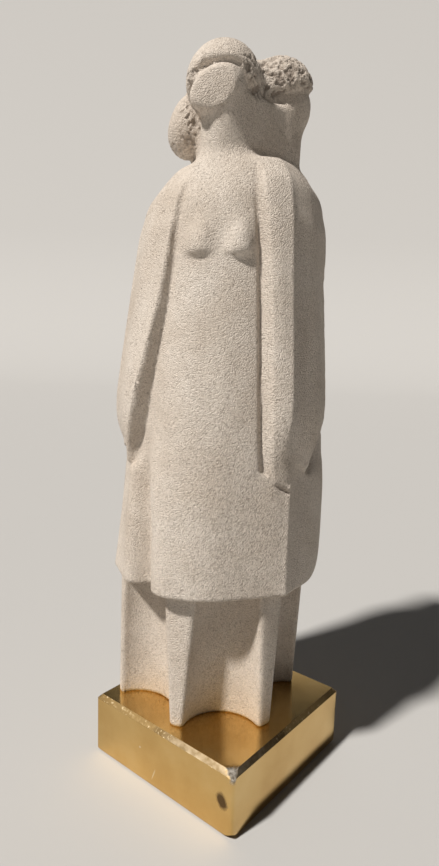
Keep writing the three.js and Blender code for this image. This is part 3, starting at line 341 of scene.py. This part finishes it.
def build():
    zt = [FOOT - .5 * H, FOOT + .5 * H]
    while zt[-1] < 3.60:
        zt.append(zt[-1] + H * float(scale_at(zt[-1])))
    zt = np.array([zt[0] - H] + zt)
    kt = scale_at(zt)
    us, vs = np.arange(LO_U, HI_U, H), np.arange(LO_V, HI_V, H)
    nu, nv, nz = len(us), len(vs), len(zt)
    F = np.full((nu, nv, nz), 1.0, np.float32)
    # coarse pass finds which blocks can hold the surface
    B = 4
    ci, cj, ck = [np.minimum(np.arange(0, n + B, B), n - 1) for n in (nu, nv, nz)]
    I, J, K = np.meshgrid(ci, cj, ck, indexing="ij")
    C = field(-.03 + us[I] * kt[K], .07 + vs[J] * kt[K], zt[K])
    reach = B * H * kt[K] * 1.75
    C = np.where(zt[K] < FOOT + B * H, 0, C)
    near = np.abs(C) < reach
    blocks = near[:-1, :-1, :-1].copy()
    for a in (0, 1):
        for b in (0, 1):
            for c in (0, 1):
                blocks |= near[a:near.shape[0] - 1 + a, b:near.shape[1] - 1 + b, c:near.shape[2] - 1 + c]
    sign = C[:-1, :-1, :-1] < 0
    todo = np.zeros((nu, nv, nz), bool)
    for a, b, c in np.argwhere(blocks):
        todo[ci[a]:ci[a] + B + 1, cj[b]:cj[b] + B + 1, ck[c]:ck[c] + B + 1] = True
    for a, b, c in np.argwhere(sign & ~blocks):
        F[ci[a]:ci[a] + B, cj[b]:cj[b] + B, ck[c]:ck[c] + B] = -1.0
    P = np.argwhere(todo)
    for s in range(0, len(P), 400000):
        q = P[s:s + 400000]
        k = kt[q[:, 2]]
        z = zt[q[:, 2]]
        f = field(-.03 + us[q[:, 0]] * k, .07 + vs[q[:, 1]] * k, z)
        F[q[:, 0], q[:, 1], q[:, 2]] = np.maximum(f, FOOT - z)
    F[:, :, :2] = np.maximum(F[:, :, :2], .5 * H)
    F[0], F[-1], F[:, 0], F[:, -1] = 1, 1, 1, 1
    s = F < 0
    # one vertex in each crossed cell
    cnt = np.zeros((nu - 1, nv - 1, nz - 1), np.int8)
    acc = np.zeros((3, nu - 1, nv - 1, nz - 1), np.float32)

    def sl(d):
        return tuple(slice(k, n - 1 + k) for k, n in zip(d, F.shape))

    cor = [(a, b, c) for a in (0, 1) for b in (0, 1) for c in (0, 1)]
    for a in cor:
        for b in cor:
            if sum(abs(p - q) for p, q in zip(a, b)) != 1 or b < a:
                continue
            A, Bv = F[sl(a)], F[sl(b)]
            m = (A < 0) != (Bv < 0)
            t = np.where(m, A / (A - Bv + 1e-20), 0)
            cnt += m
            for d in range(3):
                acc[d] += np.where(m, a[d] + (b[d] - a[d]) * t, 0)
    act = cnt > 0
    idx = -np.ones(act.shape, np.int64)
    idx[act] = np.arange(act.sum())
    I = np.argwhere(act)
    G = np.stack([I[:, d] + acc[d][act] / cnt[act] for d in range(3)], 1)
    V = np.stack(grid_to_space(LO_U + G[:, 0] * H, LO_V + G[:, 1] * H, G[:, 2], zt, kt), 1)
    faces = []
    for d in range(3):
        u, v = [(1, 2), (2, 0), (0, 1)][d]
        A = [slice(1, F.shape[i] - 1) for i in range(3)]
        A[d] = slice(0, F.shape[d] - 1)
        Bs = list(A)
        Bs[d] = slice(1, F.shape[d])
        a, b = s[tuple(A)], s[tuple(Bs)]
        m = a != b
        p = np.argwhere(m) + np.array([q.start for q in A])

        def cell(du, dv):
            q = p.copy()
            q[:, u] -= du
            q[:, v] -= dv
            return idx[q[:, 0], q[:, 1], q[:, 2]]

        Q = np.stack([cell(1, 1), cell(0, 1), cell(0, 0), cell(1, 0)], 1)
        ins = a[m]
        Q[~ins] = Q[~ins][:, ::-1]
        faces.append(Q)
    Q = np.concatenate(faces)
    # pull the vertices onto the true surface; the foot stays flat
    foot = I[:, 2] == 1
    tops = np.zeros(len(I), bool)
    fi = I[foot]
    tops[foot] = s[fi[:, 0], fi[:, 1], 2] & s[fi[:, 0] + 1, fi[:, 1], 2] & s[fi[:, 0], fi[:, 1] + 1, 2] & s[fi[:, 0] + 1, fi[:, 1] + 1, 2]
    V[foot, 2] = FOOT
    e = 0.002
    for it in range(5):
        m = ~tops if it < 2 else foot & ~tops
        p = V[m]
        f = field(p[:, 0], p[:, 1], p[:, 2])
        g = []
        for d in range(3):
            a, b = p.copy(), p.copy()
            a[:, d] += e
            b[:, d] -= e
            g.append((field(a[:, 0], a[:, 1], a[:, 2]) - field(b[:, 0], b[:, 1], b[:, 2])) / (2 * e))
        g = np.stack(g, 1)
        g[foot[m], 2] = 0
        g2 = np.maximum((g ** 2).sum(1), .25)
        lim = np.minimum(1, .35 * H * np.sqrt(g2) / (np.abs(f) + 1e-12))
        V[m] -= (f / g2 * lim)[:, None] * g
    return V, Q, foot


# ------------------------------------------------------------------ noise for pits
def hash3(i, j, k, seed):
    n = (i.astype(np.int64) * 73856093) ^ (j.astype(np.int64) * 19349663) ^ (k.astype(np.int64) * 83492791) ^ (seed * 2654435761)
    n = (n ^ (n >> 13)) * 1274126177 & 0xFFFFFFFF
    n = (n ^ (n >> 16)) * 2246822519 & 0xFFFFFFFF
    n = n ^ (n >> 15)
    return (n & 0xFFFFFF) / float(0x1000000)


def value_noise(P, size, seed):
    """smooth noise, -1..1, grain about `size` (metres)"""
    q = P / size
    b = np.floor(q).astype(np.int64)
    f = q - b
    f = f * f * (3 - 2 * f)
    out = 0
    for a in (0, 1):
        for c in (0, 1):
            for d in (0, 1):
                w = (f[:, 0] if a else 1 - f[:, 0]) * (f[:, 1] if c else 1 - f[:, 1]) * (f[:, 2] if d else 1 - f[:, 2])
                out = out + w * hash3(b[:, 0] + a, b[:, 1] + c, b[:, 2] + d, seed)
    return out * 2 - 1


def pits(P, size, share, seed, lo=.28, hi=.52, stretch=None):
    """0..1 depth of scattered round pits: one per cell of `size`, in `share` of the cells"""
    q = P / size
    if stretch is not None:
        q = q @ stretch
    b = np.floor(q).astype(np.int64)
    best = np.zeros(len(P))
    for a in (-1, 0, 1):
        for c in (-1, 0, 1):
            for d in (-1, 0, 1):
                i, j, k = b[:, 0] + a, b[:, 1] + c, b[:, 2] + d
                on = hash3(i, j, k, seed) < share
                o = np.stack([i + .2 + .6 * hash3(i, j, k, seed + 1), j + .2 + .6 * hash3(i, j, k, seed + 2), k + .2 + .6 * hash3(i, j, k, seed + 3)], 1)
                r = lo + (hi - lo) * hash3(i, j, k, seed + 4)
                t = 1 - np.sqrt(((q - o) ** 2).sum(1)) / r
                best = np.maximum(best, np.where(on, np.clip(t, 0, 1) ** .6 * (.6 + .4 * hash3(i, j, k, seed + 5)), 0))
    return best


def refine(V, T, mark):
    """splits every edge whose two ends are marked, and pulls the new vertices onto the surface"""
    E = np.sort(np.concatenate([T[:, [0, 1]], T[:, [1, 2]], T[:, [2, 0]]]), axis=1)
    key = E[:, 0].astype(np.int64) * len(V) + E[:, 1]
    uniq, inv = np.unique(key, return_inverse=True)
    a, b = uniq // len(V), uniq % len(V)
    cut = mark[a] & mark[b]
    new = -np.ones(len(uniq), np.int64)
    new[cut] = len(V) + np.arange(cut.sum())
    M = (V[a[cut]] + V[b[cut]]) / 2
    flat = (np.abs(V[a[cut], 2] - FOOT) < 1e-6) & (np.abs(V[b[cut], 2] - FOOT) < 1e-6)
    M[~flat] = pull(M[~flat], 3)
    e = new[inv].reshape(3, -1).T
    n = (e >= 0).sum(1)
    out = [T[n == 0]]
    t, f = T[n == 3], e[n == 3]
    out += [np.stack(q, 1) for q in ((t[:, 0], f[:, 0], f[:, 2]), (f[:, 0], t[:, 1], f[:, 1]), (f[:, 2], f[:, 1], t[:, 2]), (f[:, 0], f[:, 1], f[:, 2]))]
    for r in range(3):
        k = [r, (r + 1) % 3, (r + 2) % 3]
        m = (n == 1) & (e[:, r] >= 0)
        t, f = T[m][:, k], e[m][:, k]
        out += [np.stack(q, 1) for q in ((t[:, 0], f[:, 0], t[:, 2]), (f[:, 0], t[:, 1], t[:, 2]))]
        m = (n == 2) & (e[:, r] < 0)
        t, f = T[m][:, k], e[m][:, k]
        out += [np.stack(q, 1) for q in ((t[:, 0], t[:, 1], f[:, 1]), (t[:, 0], f[:, 1], f[:, 2]), (f[:, 2], f[:, 1], t[:, 2]))]
    return np.concatenate([V, M]), np.concatenate(out)


def bent(V, T, limit):
    """vertices where the surface turns more than `limit` from one triangle corner to the next, and their neighbours"""
    N = normals(V, T)
    m = np.zeros(len(V), bool)
    for i, j in ((0, 1), (1, 2), (2, 0)):
        a, b = T[:, i], T[:, j]
        q = (N[a] * N[b]).sum(1) < math.cos(limit)
        m[a[q]] = True
        m[b[q]] = True
    t = m[T].any(1)
    m[T[t].ravel()] = True
    return m


def triangles(V, Q):
    d0 = ((V[Q[:, 0]] - V[Q[:, 2]]) ** 2).sum(1)
    d1 = ((V[Q[:, 1]] - V[Q[:, 3]]) ** 2).sum(1)
    m = d0 <= d1
    return np.concatenate([Q[m][:, [0, 1, 2]], Q[m][:, [0, 2, 3]], Q[~m][:, [0, 1, 3]], Q[~m][:, [1, 2, 3]]])


def pull(V, times, fixed=None):
    e = .002
    V = V.copy()
    for _ in range(times):
        f = field(*V.T)
        g = np.stack([(field(*(V + e * np.eye(3)[d]).T) - field(*(V - e * np.eye(3)[d]).T)) / (2 * e) for d in range(3)], 1)
        g2 = np.maximum((g ** 2).sum(1), .25)
        lim = np.minimum(1, .004 * np.sqrt(g2) / (np.abs(f) + 1e-12))
        V -= (f / g2 * lim)[:, None] * g
    return V


def place(V):
    c, s = math.cos(TURN), math.sin(TURN)
    return np.stack([SIDE * (c * V[:, 0] + s * V[:, 1]), SIDE * (-s * V[:, 0] + c * V[:, 1]), Z0 + SIDE * V[:, 2]], 1)


def normals(V, Q):
    n = np.cross(V[Q[:, 1]] - V[Q[:, 0]], V[Q[:, 2]] - V[Q[:, 0]])
    out = np.zeros_like(V)
    for i in range(3):
        for k in range(3):
            out[:, k] += np.bincount(Q[:, i], n[:, k], len(V))
    return out / (np.linalg.norm(out, axis=1, keepdims=True) + 1e-12)


def mesh_object(name, P, Q, attrs=None, sharp=None):
    me = bpy.data.meshes.new(name)
    me.vertices.add(len(P))
    me.vertices.foreach_set("co", np.ascontiguousarray(P, np.float32).ravel())
    n = Q.shape[1]
    me.loops.add(Q.size)
    me.loops.foreach_set("vertex_index", np.ascontiguousarray(Q, np.int32).ravel())
    me.polygons.add(len(Q))
    me.polygons.foreach_set("loop_start", np.arange(0, Q.size, n, dtype=np.int32))
    me.update(calc_edges=True)
    me.polygons.foreach_set("use_smooth", np.ones(len(Q), bool))
    for key, val in (attrs or {}).items():
        a = me.attributes.new(key, "FLOAT", "POINT")
        a.data.foreach_set("value", np.ascontiguousarray(val, np.float32))
    me.validate()
    o = bpy.data.objects.new(name, me)
    bpy.context.scene.collection.objects.link(o)
    return o


# ------------------------------------------------------------------ the stone
def hair_mask(V):
    """1 on the hair caps and the hanging tress, 0 on skin and cloth"""
    m = np.zeros(len(V))
    sel = V[:, 2] > 2.85
    X, Y, Z = V[sel].T
    x, y = X - (-0.072 + 0.0245 * Z), Y - 0.08
    _, hairs, skins, tress = heads(x, y, Z, True)
    skin = np.minimum.reduce(skins)
    hair = np.minimum.reduce(hairs + [tress])
    m[sel] = sstep(.004, .016, skin - hair) * sstep(.03, .012, np.abs(hair))
    return m


def stone():
    V, Q, foot = build()
    T = triangles(V, Q)
    V, T = refine(V, T, bent(V, T, BEND) & (V[:, 2] < 2.98))
    V, T = refine(V, T, hair_mask(V) > .02)
    hair = hair_mask(V)
    foot = np.abs(V[:, 2] - FOOT) < 1e-6
    P = place(V)
    N = normals(P, T)
    X, Y, Z = V.T
    # where the hair was left rough: the far half of the first head, the lower front of the second,
    # the inner side and the bottom of the hanging tress, and a quieter roughness on the hidden side
    drift = value_noise(P, .006, 5)
    one = sstep(-.055, .055, X - .02 + .05 * drift - .10 * (Z - 3.3))
    two = .80 + .3 * sstep(3.42, 3.28, Z + .05 * drift)
    low = sstep(3.10, 3.03, Z + .03 * drift)
    inner = sstep(-.315, -.265, X + .03 * drift)
    tress = .62 * np.maximum(low, inner)
    rough = np.where((X < -.19) & (Z < 3.30) & (Y < .3), tress, np.where(X > .12, two, one))
    rough = np.maximum(rough, .75 * sstep(.05, .20, Y) * (X > -.30))
    rough = np.clip(rough, 0, 1.1) * hair
    # coarse, broken surface: close-set, ragged pits with steep sides, and crumbs between them
    warp = np.stack([value_noise(P, .0011, 60 + d) for d in range(3)], 1) * .00038
    n = .78 * value_noise(P + warp, .00120, 11) + .36 * value_noise(P, .00064, 12)
    big = sstep(-.02, .26, n + .22 * (rough - .8))
    mid = pits(P + warp * .6, .00100, .85, 23, .32, .56)
    crumb = value_noise(P, .00075, 31)
    thr = np.clip(rough, 0, 1)
    depth = rough * (.00064 * big + .00036 * mid * (1 - .5 * big)) + hair * (.00006 + .00007 * thr) * (1 - crumb)
    depth[foot] = 0
    P = P - N * depth[:, None]
    # the cast edge of the foot stands back a hair above the brass, so that a thin dark line shows
    low = np.clip(1 - (P[:, 2] - P[:, 2].min()) / .0007, 0, 1) * (np.abs(N[:, 2]) < .97)
    out = np.stack([N[:, 0], N[:, 1], np.zeros(len(N))], 1)
    P = P - out * (low * .00040)[:, None]
    # painted shade: the colour is darkened inside the hair pits, most in the big ones
    dark = np.clip(rough * np.maximum(big, .75 * mid), 0, 1)
    # the lower right of each front panel was worked over with short slanting strokes
    x, y = X - (-0.072 + 0.0245 * Z), Y - 0.08
    turn = (np.degrees(np.arctan2(y, x)) - FACE - E0) % PER + E0
    worked = sstep(2.45, 1.15, Z) * sstep(-26, 18, turn) * sstep(62, 44, turn) * sstep(.6, .85, Z)
    return mesh_object("stone_group", P, T, {"hair": rough, "pit_shade": dark, "worked": worked})


# ------------------------------------------------------------------ materials
def nodes_of(name):
    m = bpy.data.materials.new(name)
    m.use_nodes = True
    nt = m.node_tree
    nt.nodes.clear()
    out = nt.nodes.new("ShaderNodeOutputMaterial")
    bsdf = nt.nodes.new("ShaderNodeBsdfPrincipled")
    nt.links.new(bsdf.outputs[0], out.inputs[0])
    return m, nt, bsdf


def add(nt, kind, inputs=None, **props):
    n = nt.nodes.new(kind)
    for k, v in props.items():
        setattr(n, k, v)
    for k, v in (inputs or {}).items():
        if isinstance(v, bpy.types.NodeSocket):
            nt.links.new(v, n.inputs[k])
        else:
            n.inputs[k].default_value = v
    return n


def math_node(nt, op, a, b=0.0, clamp=False):
    n = add(nt, "ShaderNodeMath", {0: a, 1: b}, operation=op)
    n.use_clamp = clamp
    return n.outputs[0]


def ramp(nt, fac, stops, mode="LINEAR"):
    n = add(nt, "ShaderNodeValToRGB", {"Fac": fac})
    n.color_ramp.interpolation = mode
    el = n.color_ramp.elements
    while len(el) < len(stops):
        el.new(.5)
    for e, (p, c) in zip(el, stops):
        e.position = p
        e.color = (*c, 1) if len(c) == 3 else c
    return n.outputs[0]


def mix(nt, fac, a, b, mode="MIX"):
    n = nt.nodes.new("ShaderNodeMix")
    n.data_type = "RGBA"
    n.blend_type = mode
    for i, v in ((0, fac), (6, a), (7, b)):
        if isinstance(v, bpy.types.NodeSocket):
            nt.links.new(v, n.inputs[i])
        else:
            n.inputs[i].default_value = v if i == 0 else (*v, 1)
    return n.outputs[2]


def stone_material():
    m, nt, bsdf = nodes_of("cast_stone")
    co = add(nt, "ShaderNodeTexCoord").outputs["Object"]
    hair = add(nt, "ShaderNodeAttribute", attribute_name="hair").outputs["Fac"]
    pit_shade = add(nt, "ShaderNodeAttribute", attribute_name="pit_shade").outputs["Fac"]
    # the grain and the ragged little pits are drawn out along one slanting direction
    across = (-.405, .495, .770)
    along = add(nt, "ShaderNodeVectorMath", {0: co, 1: across}, operation="DOT_PRODUCT").outputs["Value"]
    squeeze = add(nt, "ShaderNodeVectorMath", {0: across, "Scale": math_node(nt, "MULTIPLY", along, 1.1)}, operation="SCALE").outputs[0]
    slant = add(nt, "ShaderNodeVectorMath", {0: co, 1: squeeze}, operation="ADD").outputs[0]
    grain = add(nt, "ShaderNodeTexNoise", {"Vector": co, "Scale": 1300.0, "Detail": 3.0, "Roughness": .70}).outputs["Fac"]
    cloud = add(nt, "ShaderNodeTexNoise", {"Vector": co, "Scale": 48.0, "Detail": 5.0, "Roughness": .6}).outputs["Fac"]
    ragged = add(nt, "ShaderNodeTexNoise", {"Vector": slant, "Scale": 1050.0, "Detail": 2.0, "Roughness": .55}).outputs["Fac"]
    where = add(nt, "ShaderNodeTexNoise", {"Vector": co, "Scale": 150.0, "Detail": 2.0}).outputs["Fac"]
    worked = add(nt, "ShaderNodeAttribute", attribute_name="worked").outputs["Fac"]
    level = math_node(nt, "ADD", ragged, math_node(nt, "MULTIPLY", math_node(nt, "SUBTRACT", where, .5), .20))
    level = math_node(nt, "ADD", level, math_node(nt, "MULTIPLY", math_node(nt, "SUBTRACT", worked, .45), .085))
    # pores: pressed in by the bump below, and also darkened in colour as painted shade
    pore_and_shade = ramp(nt, level, [(.600, (0, 0, 0)), (.69, (1, 1, 1))])
    # colour: warm off-white, faintly clouded, each grain a little lighter or darker
    base = ramp(nt, cloud, [(.30, (.590, .510, .430)), (.52, (.665, .590, .512)), (.72, (.720, .650, .575))])
    sand = add(nt, "ShaderNodeTexVoronoi", {"Vector": co, "Scale": 2800.0, "Randomness": 1.0})
    tone = add(nt, "ShaderNodeSeparateColor", {"Color": sand.outputs["Color"]}).outputs[0]
    speck = ramp(nt, tone, [(.0, (.70, .67, .64)), (.28, (.93, .92, .91)), (.75, (1.02, 1.02, 1.02)), (1.0, (1.16, 1.15, 1.14))])
    col = mix(nt, .8, base, speck, "MULTIPLY")
    # painted shade: the pores are darkened in colour
    col = mix(nt, math_node(nt, "MULTIPLY", pore_and_shade, .34, True), col, (.28, .215, .17))
    # painted shade in the hair pits
    col = mix(nt, math_node(nt, "MULTIPLY", pit_shade, .62, True), col, (.17, .128, .10))
    nt.links.new(col, bsdf.inputs["Base Color"])
    bsdf.inputs["Roughness"].default_value = .92
    bsdf.inputs["Specular IOR Level"].default_value = .25
    h = math_node(nt, "MULTIPLY", grain, .35)
    h = math_node(nt, "SUBTRACT", h, math_node(nt, "MULTIPLY", sand.outputs["Distance"], .75))
    h = math_node(nt, "SUBTRACT", h, math_node(nt, "MULTIPLY", pore_and_shade, .60))
    b = add(nt, "ShaderNodeBump", {"Height": h, "Strength": 1.0, "Distance": .00036})
    nt.links.new(b.outputs[0], bsdf.inputs["Normal"])
    return m


def brass_material():
    m, nt, bsdf = nodes_of("polished_brass")
    co = add(nt, "ShaderNodeTexCoord").outputs["Object"]
    edge = add(nt, "ShaderNodeAttribute", attribute_name="worn").outputs["Fac"]
    facet = add(nt, "ShaderNodeAttribute", attribute_name="facet").outputs["Fac"]
    cloud = add(nt, "ShaderNodeTexNoise", {"Vector": co, "Scale": 55.0, "Detail": 4.0, "Roughness": .55}).outputs["Fac"]
    fine = add(nt, "ShaderNodeTexNoise", {"Vector": co, "Scale": 1100.0, "Detail": 3.0, "Roughness": .6}).outputs["Fac"]
    streak = add(nt, "ShaderNodeTexNoise", {"Vector": co, "Scale": 260.0, "Detail": 3.0, "Roughness": .6}).outputs["Fac"]

    def blot(y, z, ry, rz, turn, soft, ragged):
        """0..1 inside a blot on the left-hand side of the block"""
        p = add(nt, "ShaderNodeVectorMath", {0: co, 1: (-.030, y, z)}, operation="SUBTRACT").outputs[0]
        p = add(nt, "ShaderNodeVectorRotate", {"Vector": p, "Angle": turn}, rotation_type="X_AXIS").outputs[0]
        p = add(nt, "ShaderNodeVectorMath", {0: p, 1: (1 / .003, 1 / ry, 1 / rz)}, operation="MULTIPLY").outputs[0]
        d = add(nt, "ShaderNodeVectorMath", {0: p}, operation="LENGTH").outputs["Value"]
        d = math_node(nt, "ADD", d, math_node(nt, "MULTIPLY", math_node(nt, "SUBTRACT", streak, .5), ragged))
        return ramp(nt, d, [(1 - soft, (1, 1, 1)), (1, (0, 0, 0))])

    spot = blot(-.0259, .0112, .0023, .0030, .5, .45, .9)
    scratch = blot(.0020, .0049, .00030, .0027, -.35, .5, .5)
    speck = blot(.0084, .0114, .00045, .00040, 0, .5, .4)
    col = ramp(nt, cloud, [(.30, (.60, .385, .135)), (.55, (.70, .475, .185)), (.75, (.76, .54, .235))])
    # the bevel has lost its polish: brown with bright nicks, silvery towards the front corner
    nick = ramp(nt, fine, [(.46, (.12, .078, .036)), (.60, (.20, .14, .07)), (.69, (.70, .60, .42))])
    silver = ramp(nt, streak, [(.38, (.15, .108, .06)), (.66, (.36, .295, .21))])
    bevel = mix(nt, ramp(nt, edge, [(.45, (0, 0, 0)), (.95, (1, 1, 1))]), nick, silver)
    col = mix(nt, ramp(nt, edge, [(.02, (0, 0, 0)), (.30, (.9, .9, .9))]), col, bevel)
    col = mix(nt, facet, col, ramp(nt, fine, [(.38, (.24, .21, .17)), (.64, (.56, .52, .46))]))
    col = mix(nt, math_node(nt, "MULTIPLY", scratch, .6, True), col, (.93, .84, .62))
    col = mix(nt, math_node(nt, "MULTIPLY", speck, .7, True), col, (.93, .86, .68))
    col = mix(nt, math_node(nt, "MULTIPLY", spot, .88, True), col, (.075, .038, .018))
    nt.links.new(col, bsdf.inputs["Base Color"])
    bsdf.inputs["Metallic"].default_value = 1.0
    r = ramp(nt, cloud, [(.25, (.11, .11, .11)), (.75, (.17, .17, .17))])
    r = math_node(nt, "ADD", r, math_node(nt, "MULTIPLY", ramp(nt, edge, [(.02, (0, 0, 0)), (.2, (1, 1, 1))]), .34))
    r = math_node(nt, "ADD", r, math_node(nt, "MULTIPLY", facet, .40))
    r = math_node(nt, "ADD", r, math_node(nt, "MULTIPLY", spot, .35), True)
    nt.links.new(r, bsdf.inputs["Roughness"])
    return m


def floor_material():
    m, nt, bsdf = nodes_of("floor")
    bsdf.inputs["Base Color"].default_value = (.50, .49, .475, 1)
    bsdf.inputs["Roughness"].default_value = .85
    bsdf.inputs["Specular IOR Level"].default_value = .2
    return m


# ------------------------------------------------------------------ the brass block
def brass():
    half, arc, steps = SIDE / 2, 6, 6
    rings = []
    for i in range(steps + 1):
        a = math.radians(90 * i / steps)
        rings.append((FOOT_EDGE * (1 - math.sin(a)), FOOT_EDGE * (1 - math.cos(a)), 0))
    n_side = 10
    z_lo, z_hi = FOOT_EDGE, BLOCK_H - BEVEL
    for i in range(1, n_side):
        rings.append((0, z_lo + (z_hi - z_lo) * i / n_side, 0))
    # the bevel: its two arrises are slightly rounded and worn
    for t, w in ((0, 0), (.06, 1), (.18, 1), (.5, 1), (.82, 1), (.94, 1), (1, 0)):
        rings.append((BEVEL * t, z_hi + BEVEL * t, w))
    for inset in (.0019, .0024, .0029, .0034, .0040):
        rings.append((inset, BLOCK_H, 0))
    seg = 60
    V, W, C = [], [], []
    for inset, z, w in rings:
        r = max(CORNER - inset * .3, .0003)
        c = half - inset - r
        for q in range(4):
            sx, sy = [(1, 1), (-1, 1), (-1, -1), (1, -1)][q]
            for i in range(arc + 1):
                a = math.radians((q + i / arc) * 90)
                V.append((sx * c + r * math.cos(a), sy * c + r * math.sin(a), z))
                W.append(w)
            for i in range(1, seg):
                t = i / seg
                if q == 0:
                    V.append((c - 2 * c * t, c + r, z))
                elif q == 1:
                    V.append((-c - r, c - 2 * c * t, z))
                elif q == 2:
                    V.append((-c + 2 * c * t, -c - r, z))
                else:
                    V.append((c + r, -c + 2 * c * t, z))
                W.append(w)
    m = 4 * (arc + seg)
    F = []
    for k in range(len(rings) - 1):
        for i in range(m):
            j = (i + 1) % m
            F.append((k * m + i, k * m + j, (k + 1) * m + j, (k + 1) * m + i))
    top = [(len(rings) - 1) * m + i for i in range(m)]
    V = np.array(V)
    W = np.array(W, float)
    # the wear fades away from the front corner, sooner along the right-hand bevel
    fx, fy = V[:, 0] + half, V[:, 1] + half
    left = fx < fy
    far = np.where(left, fy, fx)
    near = np.where(left, sstep(.034, .020, far) * .75 + .25, sstep(.030, .012, far) * .80 + .20)
    near = np.where((fx > .030) & (fy > .030), .35, near)
    worn = W * near
    # the front top corner is knocked flat: a small three-sided facet
    diag = (fx + fy) / math.sqrt(2)
    lid = .0192 + .486 * diag
    hit = V[:, 2] > lid
    facet = np.where(hit, 1.0, 0.0)
    V[:, 2] = np.minimum(V[:, 2], lid)
    # and the bottom one is rubbed round
    V[:, 2] = np.maximum(V[:, 2], .0024 * np.clip(1 - diag / .0046, 0, 1) ** 2)
    me = bpy.data.meshes.new("brass_block")
    me.from_pydata([tuple(v) for v in V], [], F + [tuple(top), tuple(range(m - 1, -1, -1))])
    for name, val in (("worn", worn), ("facet", facet)):
        a = me.attributes.new(name, "FLOAT", "POINT")
        a.data.foreach_set("value", val.astype(np.float32))
    me.polygons.foreach_set("use_smooth", np.ones(len(me.polygons), bool))
    o = bpy.data.objects.new("brass_block", me)
    bpy.context.scene.collection.objects.link(o)
    # flat faces stay flat under smooth shading
    me.update()
    bpy.context.view_layer.objects.active = o
    o.select_set(True)
    bpy.ops.object.shade_smooth_by_angle(angle=math.radians(22))
    o.select_set(False)
    return o


group = stone()
group.data.materials.append(stone_material())
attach(group, "root")
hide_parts("three_figures")

block = brass()
block.data.materials.append(brass_material())
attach(block, "root")
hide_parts("brass_base")


# ------------------------------------------------------------------ floor, light, camera
def photo_dir(x, y, z):
    """a direction right, away from the camera and up in the photograph, in the row's frame"""
    c, s = math.cos(TURN), math.sin(TURN)
    return (c * x + s * y, -s * x + c * y, z)


def sweep(name, mat):
    """a flat pale floor that curves up far behind the object"""
    prof = [(-4.0, 0.0), (-1.0, 0.0), (1.6, 0.0)]
    r, end = 1.6, math.radians(55)
    for i in range(1, 17):
        a = end * i / 16
        prof.append((1.6 + r * math.sin(a), r * (1 - math.cos(a))))
    y, z = prof[-1]
    prof.append((y + 2.2 * math.cos(end), z + 2.2 * math.sin(end)))
    V = [photo_dir(x, y, z) for y, z in prof for x in (-5.0, 5.0)]
    F = [(2 * i, 2 * i + 1, 2 * i + 3, 2 * i + 2) for i in range(len(prof) - 1)]
    me = bpy.data.meshes.new(name)
    me.from_pydata(V, [], F)
    me.polygons.foreach_set("use_smooth", np.ones(len(F), bool))
    o = bpy.data.objects.new(name, me)
    bpy.context.scene.collection.objects.link(o)
    o.data.materials.append(mat)
    return o


floor = sweep("floor", floor_material())


def area(name, loc, target, size, watts, colour):
    d = bpy.data.lights.new(name, "AREA")
    d.shape = "RECTANGLE"
    d.size, d.size_y = size
    d.energy = watts
    d.color = colour
    o = bpy.data.objects.new(name, d)
    o.location = loc
    v = np.array(target) - np.array(loc)
    v = v / np.linalg.norm(v)
    o.rotation_euler = Vector(v).to_track_quat("-Z", "Y").to_euler()
    bpy.context.scene.collection.objects.link(o)
    return o


MID = (0, 0, .12)
key = photo_dir(-.472, -.396, .788)
sun = bpy.data.lights.new("key", "SUN")
sun.energy = 4.6
sun.angle = math.radians(4.5)
sun.color = (1.0, .965, .92)
lamp = bpy.data.objects.new("key", sun)
lamp.rotation_euler = Vector(tuple(-v for v in key)).to_track_quat("-Z", "Y").to_euler()
bpy.context.scene.collection.objects.link(lamp)
fill = photo_dir(.9, -.9, .5)
area("fill", tuple(MID[i] + fill[i] * 1.0 for i in range(3)), MID, (1.2, 1.2), .10, (.94, .96, 1.0))
world = bpy.data.worlds.new("studio")
bpy.context.scene.world = world
world.use_nodes = True
bg = world.node_tree.nodes["Background"]
bg.inputs[0].default_value = (.86, .88, .92, 1)
bg.inputs[1].default_value = .035

cam = bpy.data.cameras.new("camera")
cam.sensor_fit = "AUTO"
cam.sensor_width = 36.0
cam.lens = 600.0 / 866.0 * 36.0
cam.clip_start, cam.clip_end = .005, 20
co = bpy.data.objects.new("camera", cam)
co.location = (-.152827, -.121228, .142013)
co.rotation_euler = (1.4204777, -.0315689, -.8803710)
bpy.context.scene.collection.objects.link(co)
bpy.context.scene.camera = co
bpy.context.scene.view_settings.view_transform = "Standard"
bpy.context.scene.view_settings.look = "None"
